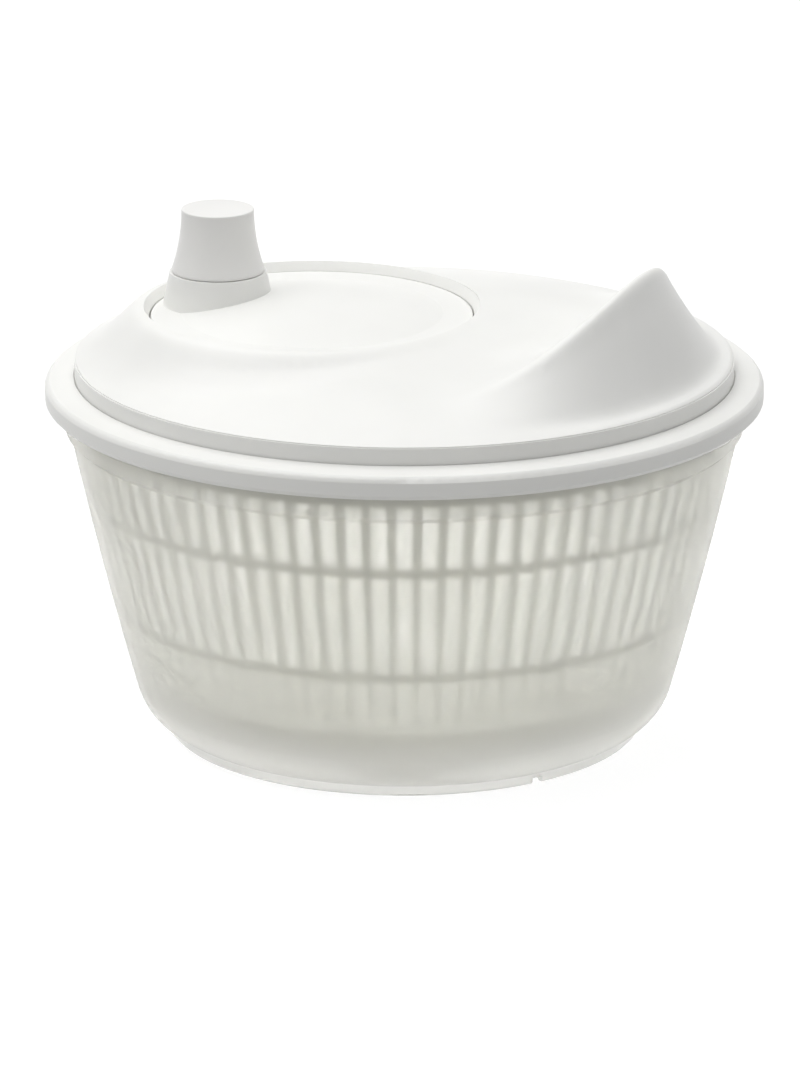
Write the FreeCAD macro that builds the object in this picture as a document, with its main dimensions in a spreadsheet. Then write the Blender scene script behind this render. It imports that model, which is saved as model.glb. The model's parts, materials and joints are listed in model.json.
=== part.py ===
"""Hand-cranked salad spinner: bowl, slotted basket, two-shell lid, off-centre crank disc with an internal
ring gear, pinion and basket holder. Millimetres, +Z up, origin on the table at the bowl's axis. The crank disc
sits towards -X and the lid's grip towards +X."""

import FreeCAD, Part
import math
import os

import Sketcher
from FreeCAD import Placement, Rotation, Vector

SIZES = [
    # bowl
    ("mouth_radius", 114.0, "outer radius of the bowl wall just below its rim band"),
    ("base_radius", 88.4, "outer radius where the wall would meet the underside"),
    ("bowl_height", 121.5, "table to the top of the bowl rim"),
    ("bowl_bulge", 1600.0, "radius of the bowl wall's slight outward curve, up and down"),
    ("bowl_wall", 2.0, "bowl wall"),
    ("bowl_floor", 2.2, "bowl floor"),
    ("bowl_corner", 18.0, "outside radius between wall and floor"),
    ("foot_height", 2.2, "floor of the bowl above the table"),
    ("foot_radius", 81.5, "outside of the foot ring"),
    ("foot_width", 3.0, "radial width of the foot ring"),
    ("foot_notches", 3, "drain notches in the foot ring"),
    ("foot_notch_width", 4.0, "width of a drain notch"),
    ("foot_notch_azimuth", 63.4, "direction of the first drain notch, degrees"),
    ("band_height", 14.0, "height of the wider band under the rim"),
    ("band_step", 1.8, "how far the band stands out of the wall"),
    ("rim_lip", 2.7, "overhang of the rim outside the band"),
    ("rim_thickness", 2.5, "thickness of the rim lip"),
    ("pip_radius", 5.0, "pivot pip in the middle of the bowl floor"),
    ("pip_height", 11.0, "height of the pivot pip above the floor"),
    # basket
    ("basket_gap", 3.6, "between the inside of the bowl and the basket"),
    ("basket_wall", 1.4, "basket wall"),
    ("basket_level", 16.0, "underside of the basket floor above the table"),
    ("basket_floor", 2.0, "basket floor"),
    ("basket_corner", 12.0, "outside radius between basket wall and floor"),
    ("basket_drop", 8.0, "top of the basket below the bowl rim"),
    ("basket_lip", 1.6, "overhang of the basket rim"),
    ("basket_lip_height", 3.0, "height of the basket rim"),
    ("slot_count", 80, "slots round the basket"),
    ("slot_width", 5.2, "width of a slot"),
    ("slot_above_floor", 9.0, "foot of the slots above the basket floor"),
    ("slot_below_rim", 3.4, "head of the slots below the top of the basket"),
    ("upper_hoop_drop", 27.5, "upper hoop below the top of the basket"),
    ("lower_hoop_drop", 65.8, "lower hoop below the top of the basket"),
    ("hoop_height", 3.2, "height of a hoop"),
    ("hoop_depth", 1.3, "how far a hoop stands out of the wall"),
    ("drain_count", 24, "drain slots in the basket floor"),
    ("drain_width", 3.2, "width of a drain slot"),
    ("drain_inner", 24.0, "inner end of the drain slots"),
    ("drain_outer", 70.0, "outer end of the drain slots"),
    ("cup_wall", 2.0, "wall of the pivot cup under the basket"),
    ("pivot_clearance", 0.3, "between the pivot pip and its cup"),
    ("key_count", 8, "drive keys inside the basket rim"),
    ("key_width", 3.0, "width of a drive key"),
    ("key_depth", 3.0, "how far a drive key stands into the basket"),
    ("key_height", 5.5, "height of a drive key"),
    ("key_clearance", 0.4, "between a key and its notch, each side"),
    # lid base
    ("flange_clearance", 0.8, "between the bowl rim and the flange skirt"),
    ("flange_wall", 3.2, "thickness of the flange skirt"),
    ("flange_drop", 5.8, "flange skirt below the top of the bowl rim"),
    ("flange_rise", 3.4, "flange top above the top of the bowl rim"),
    ("skirt_clearance", 0.9, "between the bowl mouth and the centring skirt"),
    ("skirt_wall", 2.0, "thickness of the centring skirt"),
    ("skirt_drop", 7.0, "centring skirt below the top of the bowl rim"),
    ("plate_thickness", 2.2, "closing plate of the lid base"),
    ("plate_drop", 3.0, "underside of the closing plate below the bowl rim"),
    ("ledge_width", 10.5, "ledge that carries the cover's edge"),
    ("ledge_rise", 2.4, "ledge above the top of the bowl rim"),
    ("seam", 0.35, "seam between the cover's edge and the flange"),
    # lid cover
    ("cover_inset", 1.6, "cover's edge inside the bowl's mouth radius"),
    ("cover_shell", 2.6, "upright thickness of the cover"),
    ("cover_wall", 2.2, "thickness of the cover's edge"),
    ("edge_rise", 9.3, "top of the cover's edge above the bowl rim"),
    ("dome_rise", 19.2, "middle of the dome above the cover's edge"),
    ("lip_rise", 27.1, "lip round the crank disc above the bowl rim"),
    ("lip_width", 2.9, "flat top of the lip"),
    ("flank_slope", 1.0, "fall of the flank outside the lip, per unit out"),
    ("pan_depth", 15.4, "floor of the gear pan below the lip"),
    ("pan_floor", 2.2, "floor of the gear pan"),
    ("pan_wall", 2.4, "wall of the gear pan"),
    ("pan_flare", 1.9, "how far the mouth of the pan opens out"),
    ("pan_flare_height", 3.1, "height of the flared mouth"),
    ("grip_height", 31.9, "crest of the grip above the dome"),
    ("grip_azimuth", -23.0, "direction of the middle of the grip, degrees"),
    ("grip_spread", 64.0, "half the angle that the grip takes, degrees"),
    ("grip_crest_inset", 25.6, "crest of the grip inside the cover's edge"),
    ("grip_foot_inset", 6.9, "foot of the grip inside the cover's edge"),
    ("grip_sweep", 36.0, "length of the sweep up to the crest"),
    # gears and crank
    ("gear_module", 1.5, "module of the gear pair"),
    ("ring_teeth", 60, "teeth inside the ring gear"),
    ("pinion_teeth", 18, "teeth on the pinion"),
    ("gear_face", 8.0, "face width of the gears"),
    ("backlash", 0.3, "play between the teeth at the pitch circle"),
    ("ring_rim", 4.6, "rim outside the ring gear's teeth"),
    ("gear_float", 1.0, "ring gear above the floor of the pan"),
    ("disc_overhang", 3.375, "crank disc beyond the ring gear"),
    ("disc_gap", 0.45, "between the crank disc and its pan"),
    ("disc_thickness", 2.4, "crank disc at its edge"),
    ("disc_dome", 5.5, "rise of the crank disc's middle"),
    ("disc_drop", 3.0, "edge of the crank disc below the lip"),
    ("spindle_radius", 6.0, "spindle under the crank disc"),
    ("running_fit", 0.06, "radial clearance of a running fit"),
    ("bush_wall", 2.0, "wall of a bearing bush"),
    ("bush_flange", 1.8, "overhang of a bush's flange"),
    ("bush_flange_height", 0.8, "height of a bush's flange"),
    ("boss_wall", 3.0, "wall of a bearing boss"),
    ("crank_boss_depth", 5.5, "crank bearing boss below the pan floor"),
    ("end_play", 0.2, "end play of the turning parts"),
    # knob
    ("throw", 34.9, "knob axis from the crank disc's axis"),
    ("knob_azimuth", 157.0, "direction of the knob at rest, degrees"),
    ("stud_rise", 11.2, "top of the knob stand above the disc's edge"),
    ("stand_top_radius", 16.6, "knob stand at its top"),
    ("stand_foot_radius", 18.9, "knob stand at the disc"),
    ("stand_wall", 2.2, "wall of the knob stand"),
    ("pin_seat", 8.0, "depth of the knob pin in its stand"),
    ("knob_foot_radius", 15.8, "knob at its foot"),
    ("knob_top_radius", 12.4, "knob at its top"),
    ("knob_height", 21.7, "height of the knob"),
    ("knob_waist", 66.0, "radius of the knob's hollow side"),
    ("knob_wall", 1.8, "wall of the knob"),
    ("cap_thickness", 1.5, "knob cap"),
    ("pin_radius", 2.5, "knob pin"),
    ("pin_head_radius", 4.6, "head of the knob pin"),
    ("pin_head_height", 1.6, "height of the knob pin's head"),
    ("pin_post_wall", 3.0, "wall round the knob pin"),
    ("knob_lip", 0.8, "upright edge at the foot of the knob"),
    ("knob_web_drop", 4.5, "web inside the knob below its cap"),
    ("cap_rounding", 0.4, "rounded edge of the knob cap"),
    ("washer_radius", 6.0, "washers under screw heads"),
    ("washer_thickness", 0.8, "washers"),
    ("washer_recess", 0.6, "depth of the knob washer's seat in the stand"),
    ("washer_clearance", 0.3, "round the knob washer in its seat"),
    # drive hub
    ("stem_radius", 5.0, "stem of the pinion"),
    ("square_side", 7.0, "square at the foot of the stem"),
    ("hub_bush_length", 10.0, "bearing bush of the stem"),
    ("holder_thickness", 2.0, "plate of the basket holder"),
    ("holder_clearance", 0.9, "between the holder's plate and the basket rim"),
    ("holder_fit", 1.0, "between the holder's skirt and the basket"),
    ("holder_skirt", 1.8, "thickness of the holder's skirt"),
    ("holder_skirt_depth", 5.5, "depth of the holder's skirt below its plate"),
    ("holder_hub_radius", 9.0, "hub of the basket holder"),
    ("holder_hub_depth", 6.3, "hub of the holder below its plate"),
    ("holder_rib_count", 8, "stiffening ribs under the holder"),
    ("holder_rib_width", 1.6, "thickness of a stiffening rib"),
    ("holder_rib_height", 3.5, "depth of a stiffening rib"),
    # screws
    ("screw_radius", 1.5, "shank of the screws"),
    ("screw_head_radius", 2.8, "head of the screws"),
    ("screw_head_height", 1.5, "height of a screw head"),
    ("screw_bite", 7.0, "length of a screw beyond what it clamps"),
    ("cover_screws", 6, "screws between lid base and cover"),
    ("screw_boss_radius", 3.4, "screw bosses under the cover"),
    ("small_screw_radius", 0.9, "shank of the ring gear's screws"),
    ("small_head_radius", 1.7, "head of the ring gear's screws"),
    ("small_head_height", 1.2, "height of those heads"),
    ("ring_screws", 6, "screws that hold the ring gear"),
]

doc = FreeCAD.newDocument("salad_spinner")
sheet = doc.addObject("Spreadsheet::Sheet", "Sizes")


class Size:
    """A length with its number and the sheet expression that gives it."""

    def __init__(self, value, text):
        self.value = float(value)
        self.text = text

    def __add__(self, other):
        other = as_size(other)
        return Size(self.value + other.value, f"({self.text} + {other.text})")

    def __sub__(self, other):
        other = as_size(other)
        return Size(self.value - other.value, f"({self.text} - {other.text})")

    def __mul__(self, other):
        other = as_size(other)
        return Size(self.value * other.value, f"({self.text} * {other.text})")

    def __truediv__(self, other):
        other = as_size(other)
        return Size(self.value / other.value, f"({self.text} / {other.text})")

    def __neg__(self):
        return Size(-self.value, f"(-{self.text})")


def as_size(value):
    return value if isinstance(value, Size) else Size(value, repr(float(value)))


def root(size):
    return Size(math.sqrt(size.value), f"sqrt({size.text})")


def fill_sheet():
    """Writes the driving sizes into the sheet and returns them by name."""
    sizes = {}
    for row, (alias, value, note) in enumerate(SIZES, start=1):
        sheet.set(f"A{row}", alias)
        sheet.set(f"B{row}", str(value))
        sheet.set(f"C{row}", note)
        sheet.setAlias(f"B{row}", alias)
        sizes[alias] = Size(value, f"Sizes.{alias}")
    return sizes


S = fill_sheet()
ZERO = as_size(0)
doc.recompute()

# Heights and radii that several pieces share.
RIM_TOP = S["bowl_height"]
STEP_HEIGHT = RIM_TOP - S["band_height"]
BAND_RADIUS = S["mouth_radius"] + S["band_step"]
RIM_RADIUS = BAND_RADIUS + S["rim_lip"]
MOUTH_INSIDE = BAND_RADIUS - S["bowl_wall"]
WALL_SLOPE = (S["mouth_radius"] - S["base_radius"]) / (STEP_HEIGHT - S["foot_height"] - S["band_step"])
FLOOR_TOP = S["foot_height"] + S["bowl_floor"]
BASKET_TOP = RIM_TOP - S["basket_drop"]
BASKET_FLOOR_TOP = S["basket_level"] + S["basket_floor"]
PLATE_BOTTOM = RIM_TOP - S["plate_drop"]
PLATE_TOP = PLATE_BOTTOM + S["plate_thickness"]
LEDGE_TOP = RIM_TOP + S["ledge_rise"]
COVER_RADIUS = S["mouth_radius"] - S["cover_inset"]
EDGE_TOP = RIM_TOP + S["edge_rise"]
DOME_TOP = EDGE_TOP + S["dome_rise"]
LIP_TOP = RIM_TOP + S["lip_rise"]
PAN_TOP = LIP_TOP - S["pan_depth"]
PAN_BOTTOM = PAN_TOP - S["pan_floor"]
CENTRE_DISTANCE = (S["ring_teeth"] - S["pinion_teeth"]) * S["gear_module"] / 2
GEAR_BOTTOM = PAN_TOP + S["gear_float"]
GEAR_TOP = GEAR_BOTTOM + S["gear_face"]
DISC_EDGE_TOP = LIP_TOP - S["disc_drop"]
DISC_EDGE_BOTTOM = DISC_EDGE_TOP - S["disc_thickness"]
CRANK_BOSS_BOTTOM = PAN_BOTTOM - S["crank_boss_depth"]
STUD_TOP = DISC_EDGE_TOP + S["stud_rise"]
KNOB_WASHER_BOTTOM = STUD_TOP - S["washer_recess"]
KNOB_WASHER_RADIUS = S["knob_top_radius"] / 2
KNOB_BOTTOM = KNOB_WASHER_BOTTOM + S["washer_thickness"] + S["end_play"] / 2
KNOB_TOP = KNOB_BOTTOM + S["knob_height"]
HOLDER_BOTTOM = BASKET_TOP + S["holder_clearance"]
HOLDER_TOP = HOLDER_BOTTOM + S["holder_thickness"]
HUB_TOP = PLATE_BOTTOM - S["end_play"]
HUB_BOTTOM = HOLDER_BOTTOM - S["holder_hub_depth"]
STEM_BORE = S["stem_radius"] + S["running_fit"]
HUB_BUSH_RADIUS = STEM_BORE + S["bush_wall"]
SPINDLE_BORE = S["spindle_radius"] + S["running_fit"]
CRANK_BUSH_RADIUS = SPINDLE_BORE + S["bush_wall"]
COVER_SCREW_RADIUS = COVER_RADIUS - S["cover_wall"] - S["screw_boss_radius"] * 0.75
RING_ROOT = S["gear_module"] * (S["ring_teeth"] / 2 + 1.25)
RING_OUTSIDE = RING_ROOT + S["ring_rim"]
RING_SCREW_RADIUS = RING_ROOT + S["ring_rim"] / 2
DISC_RADIUS = RING_OUTSIDE + S["disc_overhang"]
PAN_RADIUS = DISC_RADIUS + S["disc_gap"]
UP = Vector(0, 0, 1)
KNOB_TURN = math.radians(S["knob_azimuth"].value)
KNOB_X = S["throw"] * Size(math.cos(KNOB_TURN), "cos(Sizes.knob_azimuth)")
KNOB_Y = S["throw"] * Size(math.sin(KNOB_TURN), "sin(Sizes.knob_azimuth)")
BOWL_AXIS = (ZERO, ZERO)
CRANK_AXIS = (-CENTRE_DISTANCE, ZERO)
KNOB_AXIS = (KNOB_X - CENTRE_DISTANCE, KNOB_Y)
CRANK_BASE = Vector(-CENTRE_DISTANCE.value, 0, 0)


def basket_radius(height):
    """Outer radius of the basket wall at a height: parallel to the bowl, one gap inside it."""
    wall = S["mouth_radius"] - (STEP_HEIGHT - S["band_step"] - height) * WALL_SLOPE
    return wall - S["bowl_wall"] - S["basket_gap"]


def rounded_foot(base, floor, slope, radius):
    """Where an arc of the given radius leaves a level floor and meets a wall leaning out by the slope."""
    lean = root(slope * slope + 1)
    reach = radius * (lean - slope)
    on_floor = (base - reach, floor)
    on_wall = (base + reach * slope / lean, floor + reach / lean)
    return on_floor, on_wall


# Parametric building blocks.


def new_body(label):
    body = doc.addObject("PartDesign::Body", label)
    body.Label = label
    return body


def origin_feature(body, role):
    return next(feature for feature in body.Origin.OriginFeatures if feature.Role == role)


def new_sketch(body, role):
    sketch = body.newObject("Sketcher::SketchObject", body.Label + "_sketch")
    sketch.AttachmentSupport = [(origin_feature(body, role), "")]
    sketch.MapMode = "FlatFace"
    return sketch


def bind(sketch, constraint, size):
    index = sketch.addConstraint(constraint)
    sketch.setExpression(f"Constraints[{index}]", size.text)


def place_point(sketch, edge, end, x, y):
    """Fixes one end of a sketch edge at (x, y), both bound to the sheet."""
    origin = (-1, 1)
    if abs(x.value) < 1e-9:
        sketch.addConstraint(Sketcher.Constraint("PointOnObject", edge, end, -2))
    else:
        bind(sketch, Sketcher.Constraint("DistanceX", *origin, edge, end, x.value), x)
    if abs(y.value) < 1e-9:
        sketch.addConstraint(Sketcher.Constraint("PointOnObject", edge, end, -1))
    else:
        bind(sketch, Sketcher.Constraint("DistanceY", *origin, edge, end, y.value), y)


def arc_between(start, end, radius, side):
    """The short arc from start to end; side is 1 when its centre lies to the left of the way."""
    middle = (start + end) / 2
    chord = end - start
    left = Vector(-chord.y, chord.x, 0).normalize()
    reach = math.sqrt(radius * radius - chord.Length * chord.Length / 4)
    centre = middle + left * (reach * side)
    first, last = (start, end) if side > 0 else (end, start)
    from_angle = math.atan2(first.y - centre.y, first.x - centre.x)
    to_angle = math.atan2(last.y - centre.y, last.x - centre.x)
    return Part.ArcOfCircle(Part.Circle(centre, UP, radius), from_angle, to_angle)


def add_outline(sketch, corners):
    """Adds a closed outline. A corner is (x, y), or (x, y, radius, side) when an arc leads to the next one."""
    points = [Vector(corner[0].value, corner[1].value, 0) for corner in corners]
    first_edge = sketch.GeometryCount
    ends = []
    for index, corner in enumerate(corners):
        start = points[index]
        end = points[(index + 1) % len(points)]
        if len(corner) == 2:
            sketch.addGeometry(Part.LineSegment(start, end), False)
            ends.append((1, 2))
            continue
        radius, side = corner[2], corner[3]
        edge = sketch.addGeometry(arc_between(start, end, radius.value, side), False)
        ends.append((1, 2) if side > 0 else (2, 1))
        bind(sketch, Sketcher.Constraint("Radius", edge, radius.value), radius)
    for index in range(len(corners)):
        following = (index + 1) % len(corners)
        link = (first_edge + index, ends[index][1], first_edge + following, ends[following][0])
        sketch.addConstraint(Sketcher.Constraint("Coincident", *link))
    for index, corner in enumerate(corners):
        place_point(sketch, first_edge + index, ends[index][0], corner[0], corner[1])


def add_rectangle(sketch, left, right, bottom, top):
    add_outline(sketch, [(left, bottom), (right, bottom), (right, top), (left, top)])


def add_circle(sketch, x, y, radius):
    circle = Part.Circle(Vector(x.value, y.value, 0), UP, radius.value)
    edge = sketch.addGeometry(circle, False)
    bind(sketch, Sketcher.Constraint("Radius", edge, radius.value), radius)
    place_point(sketch, edge, 3, x, y)


def revolve(body, corners, kind="PartDesign::Revolution"):
    """Turns a closed outline of (radius, height) corners about Z, as material or as a groove."""
    sketch = new_sketch(body, "XZ_Plane")
    add_outline(sketch, corners)
    feature = body.newObject(kind, body.Label + "_turned")
    feature.Profile = sketch
    feature.ReferenceAxis = (sketch, ["V_Axis"])
    feature.Angle = 360
    body.Tip = feature
    doc.recompute()
    return feature


def cut_through(body, sketch, reverse):
    """Cuts a sketch from its plane to the end of the body on one side."""
    before = body.Shape.Volume
    pocket = body.newObject("PartDesign::Pocket", body.Label + "_cut")
    pocket.Profile = sketch
    pocket.Type = 1
    pocket.Reversed = reverse
    body.Tip = pocket
    doc.recompute()
    check_changed(body, before)
    return pocket


def pad_between(body, sketch, from_height, to_height):
    """Pads a sketch of the XY plane between two heights."""
    before = body.Shape.Volume
    sketch.AttachmentOffset = Placement(Vector(0, 0, from_height.value), Rotation())
    sketch.setExpression("AttachmentOffset.Base.z", from_height.text)
    pad = body.newObject("PartDesign::Pad", body.Label + "_pad")
    pad.Profile = sketch
    pad.Length = to_height.value - from_height.value
    pad.setExpression("Length", (to_height - from_height).text)
    body.Tip = pad
    doc.recompute()
    check_changed(body, before)
    return pad


def repeat(body, feature, count):
    """Repeats a feature round the body's Z axis."""
    before = body.Shape.Volume
    pattern = body.newObject("PartDesign::PolarPattern", body.Label + "_ring")
    pattern.Originals = [feature]
    pattern.Axis = (origin_feature(body, "Z_Axis"), [""])
    pattern.Angle = 360
    pattern.Occurrences = int(count.value)
    pattern.setExpression("Occurrences", count.text)
    body.Tip = pattern
    doc.recompute()
    check_changed(body, before)
    return pattern


def check_changed(body, before):
    if abs(body.Shape.Volume - before) < 0.5:
        raise RuntimeError(f"{body.Label}: a feature changed nothing")


def feature_of(label, shape):
    feature = doc.addObject("Part::Feature", label)
    feature.Label = label
    feature.Shape = shape
    return feature


def tube(outer, inner, bottom, top):
    """A plain ring about Z between two heights."""
    outside = Part.makeCylinder(outer, top - bottom, Vector(0, 0, bottom))
    return outside.cut(Part.makeCylinder(inner, top - bottom, Vector(0, 0, bottom)))


def turned(points):
    """A solid turned about Z from a closed polygon of (radius, height) points."""
    wire = Part.makePolygon([Vector(radius, 0, height) for radius, height in points + points[:1]])
    return Part.Face(wire).revolve(Vector(), UP, 360)


def ring_of(shape, radius, count, start=0.0):
    """Copies of a shape, moved out to a radius and spaced evenly round Z."""
    copies = []
    for index in range(count):
        angle = start + 360.0 * index / count
        copy = shape.copy()
        copy.translate(Vector(radius, 0, 0))
        copy.rotate(Vector(), UP, angle)
        copies.append(copy)
    return copies


def screw(head_radius, head_height, shank_radius, head_bottom, tip):
    """A screw driven upwards: head, shank, short point."""
    point = shank_radius
    neck = head_bottom + head_height
    outline = [
        (0, head_bottom),
        (head_radius * 0.8, head_bottom),
        (head_radius, head_bottom + head_height * 0.4),
        (head_radius, neck),
        (shank_radius, neck),
        (shank_radius, tip - point),
        (0, tip),
    ]
    return turned(outline)


# Bowl and basket.


def make_bowl():
    body = new_body("bowl")
    wall = S["bowl_wall"]
    step = STEP_HEIGHT - S["band_step"]
    inner_base = S["base_radius"] + WALL_SLOPE * S["bowl_floor"] - wall
    rim_bottom = RIM_TOP - S["rim_thickness"]
    rounding = S["rim_thickness"] / 4
    rise = step - S["foot_height"]
    foot_slope = WALL_SLOPE + rise / (S["bowl_bulge"] * 2)
    corner = S["bowl_corner"]
    outer_floor, outer_wall = rounded_foot(S["base_radius"], S["foot_height"], foot_slope, corner)
    inner_floor, inner_wall = rounded_foot(inner_base, FLOOR_TOP, foot_slope, corner - wall)
    revolve(body, [
        (ZERO, S["foot_height"]),
        (*outer_floor, corner, 1),
        (*outer_wall, S["bowl_bulge"], 1),
        (S["mouth_radius"], step),
        (BAND_RADIUS, STEP_HEIGHT),
        (BAND_RADIUS, rim_bottom),
        (RIM_RADIUS - rounding, rim_bottom, rounding, 1),
        (RIM_RADIUS, rim_bottom + rounding),
        (RIM_RADIUS, RIM_TOP - rounding, rounding, 1),
        (RIM_RADIUS - rounding, RIM_TOP),
        (MOUTH_INSIDE, RIM_TOP),
        (MOUTH_INSIDE, STEP_HEIGHT + S["band_step"]),
        (S["mouth_radius"] - wall, STEP_HEIGHT, S["bowl_bulge"], -1),
        (*inner_wall, corner - wall, -1),
        inner_floor,
        (ZERO, FLOOR_TOP),
    ])
    foot_inside = S["foot_radius"] - S["foot_width"]
    foot_root = S["foot_height"] + S["bowl_floor"] / 2
    chamfer = S["foot_width"] / 4
    revolve(body, [
        (foot_inside, chamfer),
        (foot_inside + chamfer, ZERO),
        (S["foot_radius"] - chamfer, ZERO),
        (S["foot_radius"], chamfer),
        (S["foot_radius"], foot_root + chamfer),
        (foot_inside, foot_root),
    ])
    add_pip(body)
    notch = new_sketch(body, "XY_Plane")
    half = S["foot_notch_width"] / 2
    add_rectangle(notch, foot_inside - 1, S["foot_radius"] + 1, -half, half)
    turn = S["foot_notch_azimuth"]
    notch.AttachmentOffset = Placement(Vector(), Rotation(UP, turn.value))
    notch.setExpression("AttachmentOffset.Rotation.Angle", turn.text)
    pocket = body.newObject("PartDesign::Pocket", "bowl_notch")
    pocket.Profile = notch
    pocket.Length = S["foot_height"].value
    pocket.setExpression("Length", S["foot_height"].text)
    pocket.Reversed = True
    body.Tip = pocket
    doc.recompute()
    repeat(body, pocket, S["foot_notches"])
    return body


def add_pip(body):
    """The pivot pip that the basket turns on: a tapered post with a rounded point."""
    top = FLOOR_TOP + S["pip_height"]
    shoulder = top - S["pip_radius"] / 2
    revolve(body, [
        (ZERO, FLOOR_TOP - S["bowl_floor"] / 2),
        (S["pip_radius"] * 1.5, FLOOR_TOP - S["bowl_floor"] / 2),
        (S["pip_radius"], shoulder),
        (S["pip_radius"] / 2, top),
        (ZERO, top),
    ])


def make_basket():
    """The basket: a turned blank with hoops and pivot cup, then slots, drains and drive keys."""
    blank = new_body("basket_blank")
    level = S["basket_level"]
    top = BASKET_TOP
    wall = S["basket_wall"]
    lip_bottom = top - S["basket_lip_height"]
    corner = S["basket_corner"]
    outer_floor, outer_wall = rounded_foot(basket_radius(level), level, WALL_SLOPE, corner)
    inner_base = basket_radius(BASKET_FLOOR_TOP) - wall
    inner_floor, inner_wall = rounded_foot(inner_base, BASKET_FLOOR_TOP, WALL_SLOPE, corner - wall)
    cup_inside = S["pip_radius"] * 1.5 + S["pivot_clearance"]
    cup_outside = cup_inside + S["cup_wall"]
    cup_bottom = FLOOR_TOP + S["pivot_clearance"] * 2
    cup_top = FLOOR_TOP + S["pip_height"] + S["pivot_clearance"]
    revolve(blank, [
        (ZERO, cup_top),
        (cup_inside, cup_top),
        (cup_inside, cup_bottom),
        (cup_outside, cup_bottom),
        (cup_outside, level),
        (*outer_floor, corner, 1),
        outer_wall,
        (basket_radius(lip_bottom), lip_bottom),
        (basket_radius(top) + S["basket_lip"], lip_bottom),
        (basket_radius(top) + S["basket_lip"], top),
        (basket_radius(top) - wall, top),
        (*inner_wall, corner - wall, -1),
        inner_floor,
        (ZERO, BASKET_FLOOR_TOP),
    ])
    slotted = blank.Shape.cut(Part.makeCompound(basket_slots() + basket_drains()))
    hoops = [hoop(top.value - S[name].value) for name in ("upper_hoop_drop", "lower_hoop_drop")]
    return feature_of("basket", slotted.fuse(hoops + basket_keys()))


def basket_slots():
    """Upright slots in the wall, each box cutting one slot; they stop below the rim."""
    foot = BASKET_FLOOR_TOP.value + S["slot_above_floor"].value
    head = BASKET_TOP.value - S["slot_below_rim"].value
    width = S["slot_width"].value
    near = basket_radius(as_size(foot)).value - S["basket_wall"].value * 3
    far = basket_radius(BASKET_TOP).value + S["basket_wall"].value
    slot = Part.makeBox(far - near, width, head - foot, Vector(0, -width / 2, foot))
    return ring_of(slot, near, int(S["slot_count"].value))


def basket_drains():
    """Radial slots through the basket floor."""
    length = S["drain_outer"].value - S["drain_inner"].value
    width = S["drain_width"].value
    depth = S["basket_floor"].value + 2
    base = Vector(0, -width / 2, S["basket_level"].value - 1)
    drain = Part.makeBox(length, width, depth, base)
    return ring_of(drain, S["drain_inner"].value, int(S["drain_count"].value))


def hoop(height):
    """A hoop that stands out of the basket wall and bridges the slots."""
    radius = basket_radius(as_size(height)).value
    half = S["hoop_height"].value / 2
    return tube(radius + S["hoop_depth"].value, radius - S["basket_wall"].value, height - half, height + half)


def basket_keys():
    """Keys on the bars between slots, inside the rim, that the holder's notches slide over."""
    width = S["key_width"].value
    top = BASKET_TOP.value - S["basket_lip_height"].value / 2
    bottom = top - S["key_height"].value
    outside = basket_radius(as_size(bottom)).value - S["basket_wall"].value / 2
    inside = (holder_outside() - S["holder_fit"]).value - S["key_depth"].value / 2
    key = Part.makeBox(outside - inside, width, top - bottom, Vector(0, -width / 2, bottom))
    return ring_of(key, inside, int(S["key_count"].value), 180 / S["slot_count"].value)


def holder_outside():
    """Outer radius of the basket holder's skirt, one fit inside the basket at the skirt's foot."""
    foot = HOLDER_BOTTOM - S["holder_skirt_depth"]
    return basket_radius(foot) - S["basket_wall"] - S["holder_fit"]


# Lid base and cover.


def make_lid_base():
    body = new_body("lid_base")
    skirt_outside = MOUTH_INSIDE - S["skirt_clearance"]
    skirt_inside = skirt_outside - S["skirt_wall"]
    flange_inside = RIM_RADIUS + S["flange_clearance"]
    flange_outside = flange_inside + S["flange_wall"]
    flange_top = RIM_TOP + S["flange_rise"]
    flange_bottom = RIM_TOP - S["flange_drop"]
    crevice = COVER_RADIUS + S["seam"]
    ledge_inside = crevice - S["ledge_width"]
    boss_radius = HUB_BUSH_RADIUS + S["boss_wall"]
    boss_top = PLATE_BOTTOM + S["hub_bush_length"]
    lean = S["flange_wall"] / 2
    shoulder = flange_top - S["flange_wall"]
    revolve(body, [
        (HUB_BUSH_RADIUS, PLATE_BOTTOM),
        (skirt_inside, PLATE_BOTTOM),
        (skirt_inside, RIM_TOP - S["skirt_drop"]),
        (skirt_outside, RIM_TOP - S["skirt_drop"]),
        (skirt_outside, RIM_TOP),
        (flange_inside, RIM_TOP),
        (flange_inside, flange_bottom),
        (flange_outside - lean, flange_bottom),
        (flange_outside, flange_bottom + lean),
        (flange_outside, shoulder, S["flange_wall"], 1),
        (flange_outside - lean, shoulder + lean * 1.3),
        (crevice, flange_top),
        (crevice, LEDGE_TOP),
        (ledge_inside, LEDGE_TOP),
        (ledge_inside, PLATE_TOP),
        (boss_radius, PLATE_TOP),
        (boss_radius, boss_top),
        (HUB_BUSH_RADIUS, boss_top),
    ])
    holes = new_sketch(body, "XY_Plane")
    add_circle(holes, COVER_SCREW_RADIUS, ZERO, S["screw_radius"] + S["running_fit"] * 2)
    turn = as_size(180) / S["cover_screws"]
    holes.AttachmentOffset = Placement(Vector(), Rotation(UP, turn.value))
    holes.setExpression("AttachmentOffset.Rotation.Angle", turn.text)
    repeat(body, cut_through(body, holes, True), S["cover_screws"])
    return body


def smooth_max(a, b, width):
    """The larger of two heights, with a soft valley of the given width between them."""
    if width <= 0 or abs(a - b) >= width:
        return max(a, b)
    overlap = width - abs(a - b)
    return max(a, b) + overlap * overlap / (4 * width)


def dome_height(radius):
    share = radius / COVER_RADIUS.value
    return DOME_TOP.value - S["dome_rise"].value * share * share


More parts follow.
